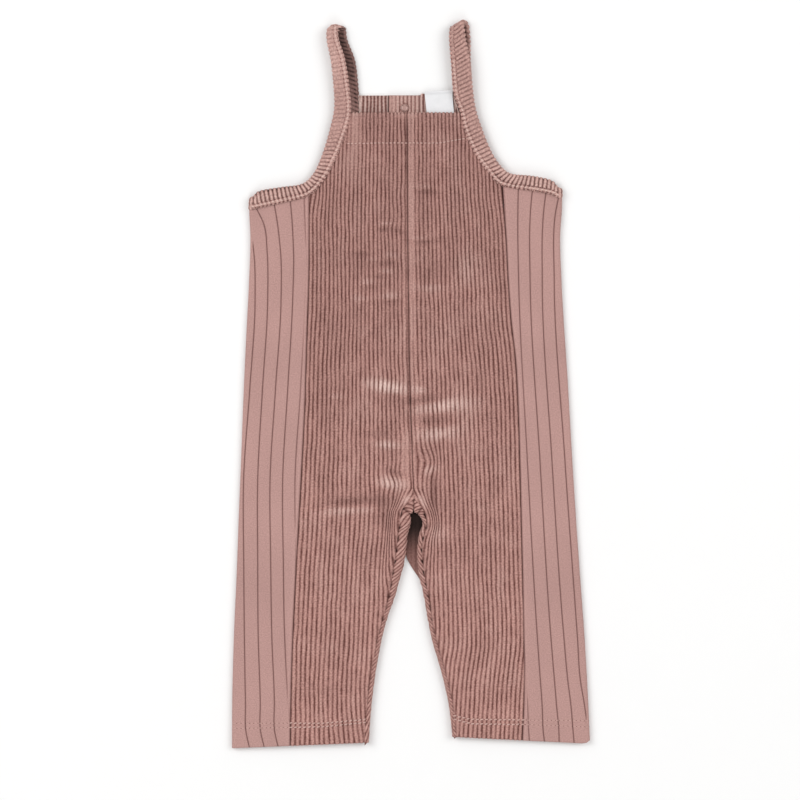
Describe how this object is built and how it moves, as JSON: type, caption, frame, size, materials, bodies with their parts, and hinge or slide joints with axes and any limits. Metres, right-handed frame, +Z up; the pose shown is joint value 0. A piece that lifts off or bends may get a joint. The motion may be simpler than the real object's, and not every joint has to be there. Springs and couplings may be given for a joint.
{
  "type": "baby romper",
  "caption": "Sleeveless long-legged baby romper in wide-wale corduroy with rib jersey side panels, bound armholes that run on as shoulder straps, and a snapped back neck, laid flat, front up",
  "frame": {"origin": "centre of the laid-out garment's bounding box, on the flat surface it rests on", "axes": "+Z up off the surface, +Y from the leg hems to the shoulder straps, +X to the right of someone looking down on the front"},
  "size_m": [0.2868, 0.5832, 0.008],
  "materials": {
    "front_left_corduroy": "napped wide-wale corduroy knit, cords along the garment",
    "front_right_corduroy": "napped wide-wale corduroy knit, cords along the garment",
    "back_left_corduroy": "napped wide-wale corduroy knit, cords along the garment",
    "back_right_corduroy": "napped wide-wale corduroy knit, cords along the garment",
    "side_left_rib_jersey": "flat rib jersey, narrow grooves along the garment",
    "side_right_rib_jersey": "flat rib jersey, narrow grooves along the garment",
    "strip_left_corduroy": "folded wide-wale corduroy knit, cords across the strip",
    "strip_right_corduroy": "folded wide-wale corduroy knit, cords across the strip",
    "placket_corduroy": "wide-wale corduroy knit",
    "label_satin": "white satin tape, bare",
    "snap_metal": "satin rose enamel"
  },
  "bodies": {
    "root": {"front_panel_left": "front_left_corduroy", "front_panel_right": "front_right_corduroy", "back_panel_left": "back_left_corduroy", "back_panel_right": "back_right_corduroy", "side_panel_left": "side_left_rib_jersey", "side_panel_right": "side_right_rib_jersey", "armhole_strip_left": "strip_left_corduroy", "armhole_strip_right": "strip_right_corduroy", "back_placket": "placket_corduroy", "neck_label": "label_satin", "snap_ring_half": "snap_metal", "snap_stud_half": "snap_metal"}
  },
  "joints": []
}
